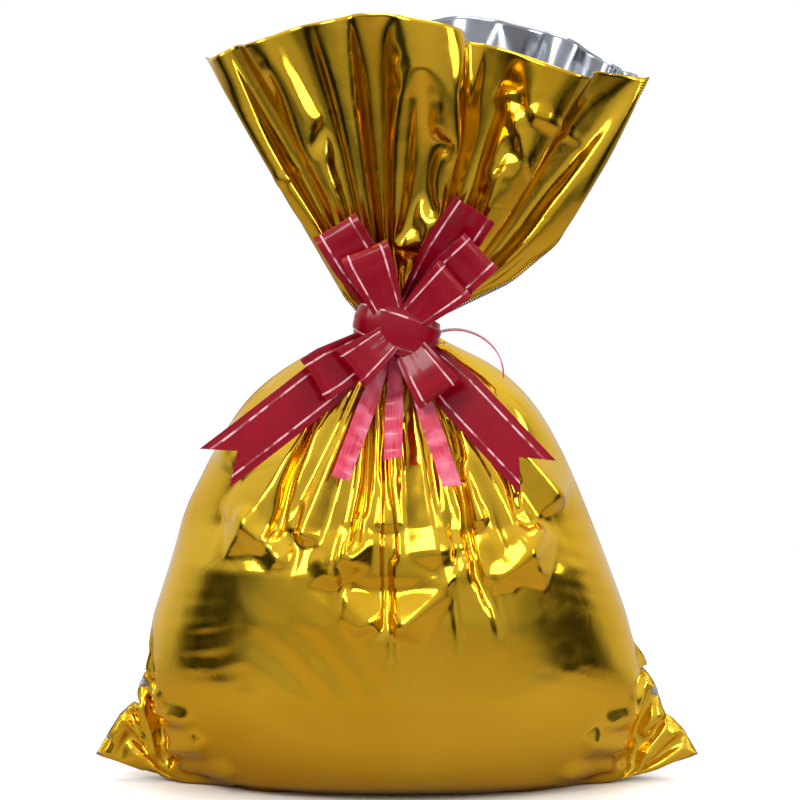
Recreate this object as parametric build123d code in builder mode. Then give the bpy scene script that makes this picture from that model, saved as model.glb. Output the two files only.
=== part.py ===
from build123d import *
from math import atan2, cos, degrees, pi, radians, sin
import os

os.makedirs("parts", exist_ok=True)

# A metallised-film gift sack, stuffed full, tied at the neck with a ribbon pull bow.
# The origin is the centre of the footprint, +Z is up and the bow faces -Y.

# --- Driving dimensions, millimetres -------------------------------------------------
film_wall = 0.8          # wall of the film panels
fit_gap = 0.3            # clearance between pieces that rest on each other
belly_width = 330.0      # stuffed pouch, side to side, at its fullest
belly_depth = 166.0      # stuffed pouch, front to back, at its fullest
belly_height = 296.0     # height where the belly ends in the gathered neck
corner_span = 400.0      # tip to tip over the two flattened bottom corners
corner_height = 60.0     # where a flattened corner leaves the belly
neck_radius = 20.0       # gathered film under the tie
neck_spread = 4.0        # how much wider the gathers are where they meet the belly
hinge_rise = 22.0        # from the top of the belly to where the collar bends
collar_width = 292.0     # collar, side to side, at the rim corners
collar_depth = 92.0      # collar, front to back, at the rim corners
collar_height = 186.0    # from where the collar bends to the top of the back rim
nod_limit = 30.0         # degrees that the collar bends back over the neck
tie_height = 8.0         # width of the pull string round the neck
tie_wall = 2.7           # thickness of the wound pull string
ribbon_width = 31.0      # broad ribbon of the bow
string_width = 12.0      # narrow pull string of the bow
ribbon_wall = 0.8        # thickness of both ribbons
ribbon_waist = 15.0      # broad ribbon where it is gathered at the bow's centre
string_waist = 6.0       # pull string there
knot_depth = 4.0         # knot between the tie and the bow's centre
centre_width = 54.0      # gathered centre of the bow, side to side
centre_height = 34.0     # gathered centre of the bow, top to bottom
centre_depth = 27.0      # gathered centre of the bow, front to back
bow_rise = 8.0           # from the top of the belly to the bow's centre
lift_gap = 0.4           # between a ribbon end and its root, where it lifts

# --- Fits worked out from them -------------------------------------------------------
neck_foot = neck_radius + neck_spread
bow_height = belly_height + bow_rise
hinge_height = belly_height + hinge_rise
rim_height = hinge_height + collar_height
tie_radius = neck_radius + fit_gap + tie_wall
knot_front = tie_radius + knot_depth
bow_reach = knot_front + centre_depth / 2
bow_point = Vector(0, -bow_reach, bow_height)
seam_plane = Plane.XZ
span = corner_span / 2
open_top = rim_height + 10
collar_floor = hinge_height + 36.0   # below it the collar is a bunch of gathers

# Belly sections: height as a share of belly_height, sideways shift as a share of the
# width, then how far the half width and the half depth have grown from the neck's
# radius to their fullest.
belly_sections = [
    (0.000, 0.000, 0.719, 0.353),
    (0.040, 0.000, 0.860, 0.747),
    (0.117, 0.000, 0.965, 0.915),
    (0.235, -0.006, 1.000, 0.983),
    (0.406, -0.016, 0.925, 1.000),
    (0.580, -0.020, 0.855, 0.888),
    (0.755, -0.028, 0.766, 0.592),
    (0.844, -0.026, 0.635, 0.367),
    (0.900, -0.030, 0.483, 0.198),
    (0.955, -0.020, 0.239, 0.029),
    (1.000, 0.000, 0.000, 0.000),
]

# Collar sections, above the hinge: share of the rise to the rim, shift, half width
# and half depth, the last three as shares of the collar's width and depth.
collar_sections = [
    (0.030, 0.035, 0.170, 0.240),
    (0.092, 0.058, 0.215, 0.255),
    (0.200, 0.086, 0.277, 0.293),
    (0.440, 0.096, 0.373, 0.370),
    (0.660, 0.089, 0.442, 0.435),
    (0.850, 0.075, 0.500, 0.500),
    (1.060, 0.065, 0.545, 0.560),
]


def belly_form(inset):
    """Solid through the belly's sections, drawn in by inset sideways and at the foot."""
    with BuildPart() as form:
        for rise, shift, wider, deeper in belly_sections:
            half_width = neck_foot + wider * (belly_width / 2 - neck_foot)
            half_depth = neck_foot + deeper * (belly_depth / 2 - neck_foot)
            with BuildSketch(Plane.XY.offset(rise * belly_height)):
                with Locations((shift * belly_width, 0)):
                    Ellipse(half_width - inset, half_depth - inset)
        loft()
        if inset:
            split(bisect_by=Plane.XY.offset(inset), keep=Keep.TOP)
    return form.part


def collar_form(inset):
    """Solid through the collar's sections, drawn in by inset sideways."""
    with BuildPart() as form:
        for rise, shift, half_width, half_depth in collar_sections:
            height = hinge_height + rise * (rim_height - hinge_height)
            with BuildSketch(Plane.XY.offset(height)):
                with Locations((shift * collar_width, 0)):
                    Ellipse(
                        half_width * collar_width - inset, half_depth * collar_depth - inset
                    )
        loft()
        if inset:
            split(bisect_by=Plane.XY.offset(collar_floor), keep=Keep.TOP)
    return form.part


def finish(piece, name):
    """Label a finished piece and write its file."""
    piece.part.label = name
    export_step(piece.part, f"parts/{name}.step")


# --- Belly: two film panels welded down the sides and along the bottom ---------------
corner_outline = [
    (0.60 * span, 0),
    (0.80 * span, 3),
    (0.99 * span, 12),
    (span, 19),
    (0.82 * span, corner_height),
    (0.60 * span, corner_height),
]
corner_root = 9.0     # half thickness of a flattened corner beside the belly
corner_tip = 1.2      # half thickness at its tip

belly_outside = belly_form(0)
belly_inside = belly_form(film_wall)
for name, side in (("front_panel", Keep.TOP), ("back_panel", Keep.BOTTOM)):
    with BuildPart() as corners:
        with BuildSketch(seam_plane):
            with BuildLine():
                Polyline(*corner_outline, close=True)
            make_face()
            mirror(about=Plane.YZ)
        extrude(amount=corner_root, both=True)
        with BuildSketch(Plane.XY):
            with BuildLine():
                Polyline(
                    (0, -2 * corner_root),
                    (0.78 * span, -corner_root),
                    (span, -corner_tip),
                    (span, corner_tip),
                    (0.78 * span, corner_root),
                    (0, 2 * corner_root),
                    close=True,
                )
            make_face()
            mirror(about=Plane.YZ)
        extrude(amount=corner_height, mode=Mode.INTERSECT)
    with BuildPart() as panel:
        add(belly_outside)
        add(corners.part)
        add(belly_inside, mode=Mode.SUBTRACT)
        split(bisect_by=seam_plane, keep=side)
    finish(panel, name)

# Stuffing that fills the belly, clear of the film all round.
filling_top = belly_height - 8.0
with BuildPart() as filling:
    add(belly_form(film_wall + fit_gap))
    split(bisect_by=Plane.XY.offset(filling_top), keep=Keep.BOTTOM)
finish(filling, "filling")

# --- Neck: gathered film under the tie, with a rounded top for the collar to bend on -
neck_flare = bow_rise - tie_height / 2 - fit_gap   # the spread ends just under the tie
with BuildPart() as neck_gather:
    with BuildSketch(Plane.XY.offset(belly_height)):
        Circle(neck_foot)
    with BuildSketch(Plane.XY.offset(belly_height + neck_flare)):
        Circle(neck_radius)
    loft()
    with BuildSketch(Plane.XY.offset(belly_height + neck_flare)):
        Circle(neck_radius)
    extrude(amount=hinge_height + neck_radius - belly_height - neck_flare)
    with BuildSketch(Plane.YZ):
        with Locations((0, hinge_height)):
            Circle(neck_radius)
        with Locations((0, (hinge_height + belly_height) / 2)):
            Rectangle(3 * neck_foot, hinge_height - belly_height)
    extrude(amount=2 * neck_foot, both=True, mode=Mode.INTERSECT)
finish(neck_gather, "neck_gather")

# --- Collar: the mouth of the pouch above the tie, two flared panels -----------------
left_rim = -0.423 * collar_width
right_rim = 0.558 * collar_width
collar_outside = collar_form(0)
collar_inside = collar_form(film_wall)
front_rim = [
    (left_rim, rim_height - 28),
    (-0.24 * collar_width, rim_height - 7),
    (0.10 * collar_width, rim_height - 9),
    (0.16 * collar_width, rim_height - 32),
    (0.32 * collar_width, rim_height - 34),
    (right_rim, rim_height - 41),
]
back_rim = [
    (left_rim, rim_height - 28),
    (-0.20 * collar_width, rim_height - 4),
    (0.03 * collar_width, rim_height),
    (0.19 * collar_width, rim_height - 7),
    (0.36 * collar_width, rim_height - 22),
    (right_rim, rim_height - 41),
]
saddle_radius = neck_radius + fit_gap
saddle_length = 2 * (neck_radius + 3 * fit_gap)
saddle_rise = saddle_radius * sin(radians(nod_limit)) + fit_gap
for name, side, rim in (
    ("front_collar", Keep.TOP, front_rim),
    ("back_collar", Keep.BOTTOM, back_rim),
):
    with BuildPart() as collar:
        add(collar_outside)
        add(collar_inside, mode=Mode.SUBTRACT)
        with BuildSketch(Plane.YZ):
            with Locations((0, hinge_height)):
                Circle(saddle_radius)
                Rectangle(collar_depth, 2 * saddle_rise)
        extrude(amount=saddle_length / 2, both=True, mode=Mode.SUBTRACT)
        with BuildSketch(seam_plane):
            with BuildLine():
                Polyline(
                    (-collar_width, rim[0][1]),
                    *rim,
                    (collar_width, rim[-1][1]),
                    (collar_width, open_top + collar_width),
                    (-collar_width, open_top + collar_width),
                    close=True,
                )
            make_face()
        extrude(amount=collar_depth, both=True, mode=Mode.SUBTRACT)
        split(bisect_by=seam_plane, keep=side)
    finish(collar, name)

# --- Tie: the pull string wound round the neck, and its knot -------------------------
with BuildPart() as neck_tie:
    with BuildSketch(Plane.XY.offset(bow_height + tie_height / 2)):
        Circle(tie_radius)
        Circle(neck_radius + fit_gap, mode=Mode.SUBTRACT)
    extrude(amount=-tie_height)
finish(neck_tie, "neck_tie")

with BuildPart() as tie_knot:
    with BuildSketch(seam_plane.offset(knot_front)):
        with Locations((0, bow_height)):
            RectangleRounded(16, tie_height + 2, 3)
    extrude(amount=-2 * knot_depth)
    with BuildSketch(Plane.XY.offset(bow_height - tie_height)):
        Circle(tie_radius + fit_gap)
    extrude(amount=2 * tie_height, mode=Mode.SUBTRACT)
finish(tie_knot, "tie_knot")

# --- Bow -----------------------------------------------------------------------------
centre_slant = -12.0     # the gathered centre leans, degrees
centre_round = 7.0
with BuildPart() as bow_centre:
    with BuildSketch(seam_plane.offset(knot_front)):
        with Locations((0, bow_height)):
            Ellipse(centre_width / 2, centre_height / 2, rotation=centre_slant)
    extrude(amount=centre_depth)
    fillet(bow_centre.faces().sort_by(Axis.Y)[0].edges(), centre_round)
finish(bow_centre, "bow_centre")


def ribbon_plane(angle, tilt):
    """Plane through the bow's centre: x runs out along the ribbon, y faces forward.

    angle turns the ribbon in the XZ plane, and tilt leans it forward, in degrees."""
    out = Vector(cos(radians(angle)), 0, sin(radians(angle)))
    front = Vector(0, -1, 0)
    along = out * cos(radians(tilt)) + front * sin(radians(tilt))
    return Plane(origin=bow_point, x_dir=along, z_dir=out.cross(front))


def ribbon_piece(name, angle, tilt, path, outline):
    """A ribbon: a thin band that follows path, cut to outline seen from the front."""
    edge_on = ribbon_plane(angle, tilt)
    face_on = Plane(origin=bow_point, x_dir=edge_on.x_dir, z_dir=edge_on.y_dir)
    with BuildPart() as ribbon:
        with BuildSketch(edge_on):
            with BuildLine():
                Spline(*path)
            trace(line_width=ribbon_wall)
        extrude(amount=ribbon_width, both=True)
        with BuildSketch(face_on):
            with BuildLine():
                Polyline(*outline, close=True)
            make_face()
        extrude(amount=2 * ribbon_width, both=True, mode=Mode.INTERSECT)
        with BuildSketch(seam_plane.offset(bow_reach)):
            with Locations((0, bow_height)):
                Ellipse(
                    centre_width / 2 + fit_gap,
                    centre_height / 2 + fit_gap,
                    rotation=centre_slant,
                )
        extrude(amount=centre_depth, both=True, mode=Mode.SUBTRACT)
    finish(ribbon, name)


def tapered(length, width, waist, widening):
    """Outline of a ribbon gathered to waist, and widening by that much per millimetre."""
    spread = (width - waist) / widening
    return [
        (0, -waist / 2),
        (min(spread, length), -width / 2),
        (length + width, -width / 2),
        (length + width, width / 2),
        (min(spread, length), width / 2),
        (0, waist / 2),
    ]


def loop_path(length, back, front):
    """A loop seen edge on: out along the back, round the end and home along the front."""
    middle = (back + front) / 2
    inner = (front - back) / 8
    return [
        (0.10 * length, middle - inner),
        (0.45 * length, back + inner),
        (0.80 * length, back),
        (length, middle),
        (0.80 * length, front),
        (0.45 * length, front - inner),
        (0.10 * length, middle + inner),
    ]


ribbon_widening = 0.32   # widening of the broad ribbon along its length
string_widening = 0.12   # the same for the pull string
# How steeply the front of the belly's shoulder leans, so the lower ribbons lie on it.
shoulder_lean = degrees(atan2(0.592 * (belly_depth / 2 - neck_foot), 0.245 * belly_height))
lower_lean = shoulder_lean - 10.7
loops = {
    # name: angle, forward tilt, length, back and front of the loop
    "upper_left_outer_loop": (121, 4, 76, -7, 3),
    "upper_left_inner_loop": (112, 4, 56, 5, 19),
    "upper_right_outer_loop": (43, 5, 73, -7, 3),
    "upper_right_inner_loop": (42, 5, 51, 5, 19),
    "lower_left_outer_loop": (211, lower_lean, 63, -6, 4),
    "lower_left_inner_loop": (219, lower_lean, 42, 6, 19),
    "lower_right_loop": (304, lower_lean, 52, -2, 14),
}
for name, (angle, tilt, length, back, front) in loops.items():
    ribbon_piece(
        name,
        angle,
        tilt,
        loop_path(length, back, front),
        tapered(length, ribbon_width, ribbon_waist, ribbon_widening),
    )

# Loose ends of the broad ribbon. Each end lifts about a line just beyond the loops.
root_depth = -10.0       # the loose ends leave the centre behind the loops
notch = 18.0             # depth of the V cut in a ribbon's end
right_tail_angle = 314
right_tail_root = 58
tails = {
    # name: angle, tilt, distance to the lifting line, length, droop towards the bag
    "left_tail": (217, lower_lean, 66, 145, 6),
    "right_tail": (right_tail_angle, lower_lean + 2, right_tail_root, 130, 5),
}
for name, (angle, tilt, root, length, droop) in tails.items():
    gathered = tapered(root, ribbon_width, ribbon_waist, ribbon_widening)
    far_side = [(root, -ribbon_width / 2), (root, ribbon_width / 2)]
    ribbon_piece(
        f"{name}_root",
        angle,
        tilt,
        [(5, root_depth), (root / 2, root_depth), (root, root_depth)],
        gathered[:2] + far_side + gathered[4:],
    )
    start = root + lift_gap
    free = length - root
    ribbon_piece(
        name,
        angle,
        tilt,
        [
            (root - 2, root_depth),
            (root + 0.3 * free, root_depth),
            (root + 0.7 * free, root_depth - droop / 3),
            (length + 6, root_depth - droop),
        ],
        [
            (start, -ribbon_width / 2),
            (length, -ribbon_width / 2),
            (length - notch, 0),
            (length, ribbon_width / 2),
            (start, ribbon_width / 2),
        ],
    )
    lift = ribbon_plane(angle, tilt)
    print(name, "lifts about", lift.from_local_coords((root, root_depth, 0)), lift.z_dir)

# The short end behind the upper right loops is cut at a slant.
back_end = 94.0
back_slant = 10.0
ribbon_piece(
    "back_ribbon_end",
    57,
    7,
    [(5, root_depth), (back_end / 2, root_depth - 1), (back_end, root_depth + 1)],
    [
        (0, -ribbon_waist / 2),
        (back_end / 2, -ribbon_width / 2),
        (back_end, -ribbon_width / 2),
        (back_end - back_slant, ribbon_width / 2),
        (back_end / 2, ribbon_width / 2),
        (0, ribbon_waist / 2),
    ],
)

# Loose ends of the narrow pull string: three hang in front in gentle waves. The right
# one hangs clear of the right tail's swing.
wave_height = 1.6
string_lean = shoulder_lean - 6.7
swing_clear = (ribbon_width + string_width) / 2 + 2.7
right_string_angle = right_tail_angle - degrees(atan2(swing_clear, right_tail_root))
strings = {
    # name: angle, tilt, length, number of waves, start depth, end depth
    "left_string_end": (249, string_lean - 1, 104, 5, -9.0, 2.0),
    "middle_string_end": (268, string_lean, 84, 4, -6.0, 0.0),
    "right_string_end": (right_string_angle, string_lean, 108, 6, -9.0, 2.0),
}
for name, (angle, tilt, length, waves, root, fall) in strings.items():
    hidden = 0.55 * length
    path = [(5, root), (0.3 * length, root), (hidden, root)]
    for step in range(1, waves + 1):
        share = step / waves
        wave = wave_height * sin(pi * (step - 0.5))
        path.append((hidden + share * (length - hidden), root + (fall - root) * share + wave))
    outline = tapered(length, string_width, string_waist, string_widening)
    ribbon_piece(name, angle, tilt, path, outline)

# The fourth end springs out sideways in an arc and comes down on the shoulder.
with BuildPart() as side_string_end:
    with BuildSketch(seam_plane.offset(knot_front)):
        with BuildLine():
            Spline(
                (centre_width / 2 - 4, bow_height - 5),
                (centre_width / 2 + 20, bow_height - 3),
                (centre_width / 2 + 34, bow_height - 12),
                (centre_width / 2 + 41, bow_height - 32),
            )
        trace(line_width=ribbon_wall)
    extrude(amount=string_width)
    with BuildSketch(seam_plane.offset(knot_front - 1)):
        with Locations((0, bow_height)):
            Ellipse(
                centre_width / 2 + fit_gap,
                centre_height / 2 + fit_gap,
                rotation=centre_slant,
            )
    extrude(amount=centre_depth, mode=Mode.SUBTRACT)
finish(side_string_end, "side_string_end")
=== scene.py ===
"""Looks of the stuffed film gift sack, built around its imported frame.

The pouch of metallised film starts folded, is relaxed by a cloth solve on a grid of each
panel inside chosen outlines, and gets its large folds as ridges. Ribbons are profiles
carried along paths. Lengths are in metres unless a comment says otherwise."""

import math

import bpy
import numpy as np
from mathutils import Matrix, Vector


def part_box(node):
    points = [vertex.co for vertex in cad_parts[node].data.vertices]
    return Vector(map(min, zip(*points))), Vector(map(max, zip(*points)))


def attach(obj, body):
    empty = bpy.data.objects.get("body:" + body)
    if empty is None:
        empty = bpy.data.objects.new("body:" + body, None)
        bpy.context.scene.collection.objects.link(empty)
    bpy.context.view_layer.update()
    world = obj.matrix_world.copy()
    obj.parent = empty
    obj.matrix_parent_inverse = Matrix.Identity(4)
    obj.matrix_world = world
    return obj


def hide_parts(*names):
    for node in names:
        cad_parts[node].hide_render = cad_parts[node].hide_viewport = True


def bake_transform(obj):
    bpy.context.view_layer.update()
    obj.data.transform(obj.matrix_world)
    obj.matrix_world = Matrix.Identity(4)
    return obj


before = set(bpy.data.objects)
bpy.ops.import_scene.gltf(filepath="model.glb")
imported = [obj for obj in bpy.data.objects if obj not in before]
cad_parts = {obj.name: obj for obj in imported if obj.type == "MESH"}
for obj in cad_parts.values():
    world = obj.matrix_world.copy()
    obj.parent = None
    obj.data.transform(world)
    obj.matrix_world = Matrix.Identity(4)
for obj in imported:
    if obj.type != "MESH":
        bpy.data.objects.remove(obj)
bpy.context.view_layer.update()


# ---- Driving sizes, read from the frame where it holds them ----
TIE_LOW, TIE_HIGH = (np.array(c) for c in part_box("neck_tie"))
CENTRE_LOW, CENTRE_HIGH = (np.array(c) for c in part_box("bow_centre"))

TIE_HEIGHT = (TIE_LOW[2] + TIE_HIGH[2]) / 2
TIE_RADIUS = (TIE_HIGH[0] - TIE_LOW[0]) / 2
BOW = np.array([0.0, (CENTRE_LOW[1] + CENTRE_HIGH[1]) / 2, TIE_HEIGHT])
HALF_SPAN = np.array(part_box("front_panel")[1])[0]    # half the width over the corners

FILM_WIDTH = 0.420                   # flat width of the pouch
FILM_LENGTH = 0.606                  # flat length of the pouch
FILM_NECK = 0.398                    # from the bottom weld to the tie, along the film
FILM_WALL = 0.0004                   # shown thickness of the film
FILM_STEP = 0.005                    # spacing of the film's solve grid
FLOOR_GAP = 0.0004                   # height of the film over the floor
TIE_BAND = 0.004                     # film to either side of FILM_NECK that the tie holds
TIP_HEIGHT = 0.017                   # height of the tips of the bottom corners

# Solve on the coarse grid and on the fine one: rounds, how far the stuffing pushes the
# film in a round, and how stiffly the film resists folding.
COARSE_SOLVE = (260, 4e-5, 0.02)
FINE_SOLVE = (200, 2e-5, 0.05)
COARSE_JITTER, FINE_JITTER = 0.0008, 0.0002          # spread of the random start
SEED = 7
KEPT_MOTION = 0.85                   # share of a round's move that carries into the next
WEIGHT_FALL = 2e-6                   # how far the film's own weight takes it in a round
BELLY_TAKE_UP = ([0, 0.7, 1], [0.965, 0.955, 0.925])  # length left, middle to sides
COLLAR_LEAN = ([0, 1], [0.945, 1.055])               # length left, left to right weld
LOW_CUT = 0.15                       # how much shorter the collar's front is on the right
SHEAR = 0.8                          # how firmly the diagonals of the grid are held
FOLD_LIMIT = 1.96                    # least distance of second neighbours, in grid steps
SMOOTHING = 60                       # rounds of evening out normals and overhangs
NECK_FILM = TIE_RADIUS - 0.0035      # outer radius of the film inside the tie
CORNER_TOP = 0.090                   # where a flattened corner leaves the belly
RIDGE_SINK = 0.0085                  # how deep the shoulder's ridges stand in the film

# Both ribbons: full width, width at the bow's centre, and widening per length.
RIBBON_WIDTH, RIBBON_WAIST, RIBBON_SPREAD = 0.031, 0.015, 0.32
STRING_WIDTH, STRING_WAIST, STRING_SPREAD = 0.012, 0.006, 0.12
RIBBON_WALL = 0.0005
STRIPE_RISE, STRIPE_PLACE = 0.00028, 0.69    # place as a share of the half width


# ---- Mesh helpers ----
def grid_faces(rows, columns):
    """Quads of a rows by columns grid of points, numbered row by row."""
    first = np.arange(rows - 1)[:, None] * columns + np.arange(columns - 1)[None, :]
    quads = np.stack([first, first + 1, first + columns + 1, first + columns], axis=-1)
    return quads.reshape(-1, 4)


def new_object(name, points, faces, uv=None, smooth=True):
    """A mesh object from an array of points and a list of faces, with an optional UV per
    point."""
    mesh = bpy.data.meshes.new(name)
    mesh.from_pydata(points.tolist(), [], faces)
    if uv is not None:
        layer = mesh.uv_layers.new(name="UVMap")
        loops = np.zeros(len(mesh.loops), np.int32)
        mesh.loops.foreach_get("vertex_index", loops)
        layer.data.foreach_set("uv", uv[loops].astype(np.float32).ravel())
    mesh.polygons.foreach_set("use_smooth", np.full(len(mesh.polygons), smooth))
    mesh.update()
    piece = bpy.data.objects.new(name, mesh)
    bpy.context.scene.collection.objects.link(piece)
    return piece


def ring_faces(rows, ring):
    """Quads of a tube of rows rings, each closed and of ring points."""
    row = np.arange(rows - 1)[:, None] * ring
    around = np.arange(ring)[None, :]
    first, after = row + around, row + (around + 1) % ring
    return np.stack([first, after, after + ring, first + ring], axis=-1).reshape(-1, 4)


def run_along(path):
    """Distance along a path of plane points, at each of them."""
    return np.concatenate([[0], np.cumsum(np.hypot(*np.diff(path, axis=0).T))])


def smooth_curve(values, knots, where):
    """Catmull-Rom value at each place in where, through values at increasing knots."""
    values, knots = np.asarray(values, float), np.asarray(knots, float)
    slopes = np.gradient(values, knots, axis=0)
    i = np.clip(np.searchsorted(knots, where, side="right") - 1, 0, len(knots) - 2)
    gap = knots[i + 1] - knots[i]
    t = (where - knots[i]) / gap
    if values.ndim > 1:
        t, gap = t[:, None], gap[:, None]
    start, end = values[i], values[i + 1]
    return (
        (2 * t**3 - 3 * t**2 + 1) * start
        + (t**3 - 2 * t**2 + t) * gap * slopes[i]
        + (3 * t**2 - 2 * t**3) * end
        + (t**3 - t**2) * gap * slopes[i + 1]
    )


# ---- Film pouch ----
# Outline of the stuffed belly from the floor to the neck: height, sideways shift, half
# width and half depth of each section.
BELLY = np.array([
    (0.0000, 0.0000, 0.1254, 0.0448),
    (0.0118, 0.0000, 0.1452, 0.0681),
    (0.0346, 0.0000, 0.1600, 0.0780),
    (0.0696, -0.0020, 0.1650, 0.0820),
    (0.1202, -0.0053, 0.1543, 0.0830),
    (0.1717, -0.0066, 0.1445, 0.0764),
    (0.2235, -0.0092, 0.1320, 0.0589),
    (0.2498, -0.0086, 0.1135, 0.0457),
    (0.2664, -0.0099, 0.0920, 0.0357),
    (0.2827, -0.0066, 0.0577, 0.0257),
    (0.2960, 0.0000, 0.0240, 0.0240),
    (0.3040, 0.0000, 0.0190, 0.0190),
])
# The collar's sections above the tie, in the same form.
COLLAR = np.array([
    (0.3040, 0.0000, 0.0190, 0.0190),
    (0.3150, 0.0040, 0.0290, 0.0200),
    (0.3300, 0.0110, 0.0560, 0.0225),
    (0.3550, 0.0250, 0.0810, 0.0260),
    (0.4000, 0.0280, 0.1080, 0.0330),
    (0.4400, 0.0260, 0.1290, 0.0390),
    (0.4700, 0.0220, 0.1440, 0.0450),
])


def section_at(table, height):
    """Shift, half width and half depth of a table's section at each height."""
    return [np.interp(height, table[:, 0], table[:, k]) for k in (1, 2, 3)]


def row_sections(v):
    """Where the film's rows lie: for each distance v up the film, the heights of its
    middle and of its side weld, and the section's shift, half width and half depth.
    The rows are spaced along the belly's profile, and then along the collar's."""
    middle = np.vstack([[0, 0], BELLY[:, [3, 0]]])
    side = np.vstack([[HALF_SPAN, TIP_HEIGHT], BELLY[3:, [2, 0]]])
    belly = np.clip(v / FILM_NECK, 0, 1)

    def along(path, share):
        """Both coordinates of a path, at a share of its length."""
        run = run_along(path)
        return [np.interp(share * run[-1], run, path[:, k]) for k in (0, 1)]

    depth, z_middle = along(middle, belly)
    width, z_side = along(side, belly)
    shift = np.interp(z_side, BELLY[:, 0], BELLY[:, 1])
    above = np.clip((v - FILM_NECK) / (FILM_LENGTH - FILM_NECK), 0, 1)
    up = run_along(COLLAR[:, [2, 0]])
    height = np.interp(above * up[-1], up, COLLAR[:, 0])
    c_shift, c_width, c_depth = section_at(COLLAR, height)
    on_collar = v > FILM_NECK
    # the collar's middle is taller than its sides, because its pleats fan out
    fan = 0.034 * above**1.5
    return (
        np.where(on_collar, height + fan, z_middle),
        np.where(on_collar, height, z_side),
        np.where(on_collar, c_shift, shift),
        np.where(on_collar, c_width, width),
        np.where(on_collar, c_depth, depth),
    )


# Zigzag of the collar and of the shoulder across a panel, from left to right: its creases
# as shares of the width, and the depth at each, from -1 to 1. It is straight between them.
COLLAR_FRONT = (
    [0.0, 0.13, 0.18, 0.23, 0.29, 0.33, 0.37, 0.42, 0.47, 0.51, 0.56, 0.66, 0.77, 0.80, 0.84, 1.0],
    [0.0, 0.5, -0.9, 0.7, -0.9, 0.6, -0.8, 0.7, -0.5, 1.0, -0.8, 0.3, 0.15, -0.6, 0.3, 0.0],
)
COLLAR_BACK = (
    [0.00, 0.10, 0.20, 0.29, 0.37, 0.46, 0.54, 0.62, 0.70, 0.80, 0.90, 1.00],
    [0.0, 0.6, -0.7, 0.8, -0.8, 0.7, -0.9, 0.8, -0.7, 0.6, -0.5, 0.0],
)
SHOULDER_FRONT = (
    [0.00, 0.08, 0.16, 0.23, 0.31, 0.39, 0.46, 0.54, 0.61, 0.69, 0.77, 0.84, 0.92, 1.00],
    [0.0, 0.8, -0.6, 1.0, -0.9, 1.0, -0.8, 1.0, -0.9, 1.0, -0.7, 0.9, -0.5, 0.0],
)
SHOULDER_BACK = (
    [0.00, 0.09, 0.18, 0.26, 0.35, 0.44, 0.52, 0.60, 0.68, 0.76, 0.85, 0.93, 1.00],
    [0.0, 0.9, -0.7, 0.9, -0.9, 1.0, -1.0, 0.8, -0.8, 1.0, -0.6, 0.6, 0.0],
)
NECK_PLEATS = 14          # pleats of each panel inside the tie
# Outline of the flattened corners: heights, and the half width at each.
CORNER_OUTLINE = ([0.0, TIP_HEIGHT, 0.036, 0.070, CORNER_TOP], [0.200, 0.200, 0.189, 0.1675, 0.1625])
# Outline of the collar: heights, and how far out the left and the right weld lies there.
COLLAR_EDGES = (
    ([0.304, 0.320, 0.476], [-0.020, -0.034, -0.1235]),
    ([0.304, 0.330, 0.355, 0.410, 0.463], [0.020, 0.074, 0.104, 0.137, 0.163]),
)
COLLAR_TIPS = ((-0.1235, 0.0, 0.476), (0.163, 0.0, 0.463))
# Underside of the corners: distances from the middle, and its height at each.
CORNER_SOLE = ([0.145, 0.166, 0.200], [0.0004, 0.0055, 0.0165])


def start_shape(u, v):
    """The pouch before it is solved, two panels of len(v) by len(u) points.

    Each row lies on the half ellipse of its section, pushed in and out along its normal
    by its zigzag of pleats, with the depth of pleat that gives the row the panel's own
    width. The row's points are evenly spaced along that folded line."""
    z_middle, z_side, shift, width, depth = row_sections(v)
    dense = np.linspace(0, 1, 601)
    turn = np.pi * (dense - 0.5)
    pouch = np.zeros((2, len(v), len(u), 3))
    near_tie = np.exp(-(((v - FILM_NECK) / 0.030) ** 2))
    above = np.clip((v - FILM_NECK) / 0.05, 0, 1)
    fine = np.cos(2 * np.pi * NECK_PLEATS * dense)
    for panel, (collar, shoulder, front) in enumerate(
        ((COLLAR_FRONT, SHOULDER_FRONT, -1), (COLLAR_BACK, SHOULDER_BACK, 1))
    ):
        high = np.interp(dense, *collar)
        low = np.interp(dense, *shoulder)
        wave = above[:, None] * high + (1 - above)[:, None] * low
        wave = (1 - near_tie)[:, None] * wave + near_tie[:, None] * fine
        edge = np.minimum(1, 12 * np.minimum(dense, 1 - dense))
        x = shift[:, None] + width[:, None] * np.sin(turn)
        y = front * depth[:, None] * np.cos(turn)
        nx = np.sin(turn)[None, :] * np.ones_like(x)
        ny = front * np.cos(turn)[None, :] * np.ones_like(x)
        lows, highs = np.zeros(len(v)), np.full(len(v), 0.035)
        for _ in range(18):
            pleat = (lows + highs) / 2
            px = x + nx * wave * edge * pleat[:, None]
            py = y + ny * wave * edge * pleat[:, None]
            run = np.hypot(np.diff(px), np.diff(py)).sum(1)
            short = run < film_rest_width(v)
            lows, highs = np.where(short, pleat, lows), np.where(short, highs, pleat)
        # pleats of the belly fold inwards, so that their ridges lie on its outline
        inward = np.where(v < FILM_NECK, 0.7, 0.0)[:, None] * pleat[:, None] * edge
        px, py = px - nx * inward, py - ny * inward
        lift = np.abs(np.sin(turn)) ** 3
        pz = z_middle[:, None] * (1 - lift) + z_side[:, None] * lift
        for row in range(len(v)):
            run = run_along(np.stack([px[row], py[row]], axis=1))
            even = np.linspace(0, run[-1], len(u))
            for axis, line in enumerate((px[row], py[row], pz[row])):
                pouch[panel, row, :, axis] = np.interp(even, run, line)
    return pouch


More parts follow.
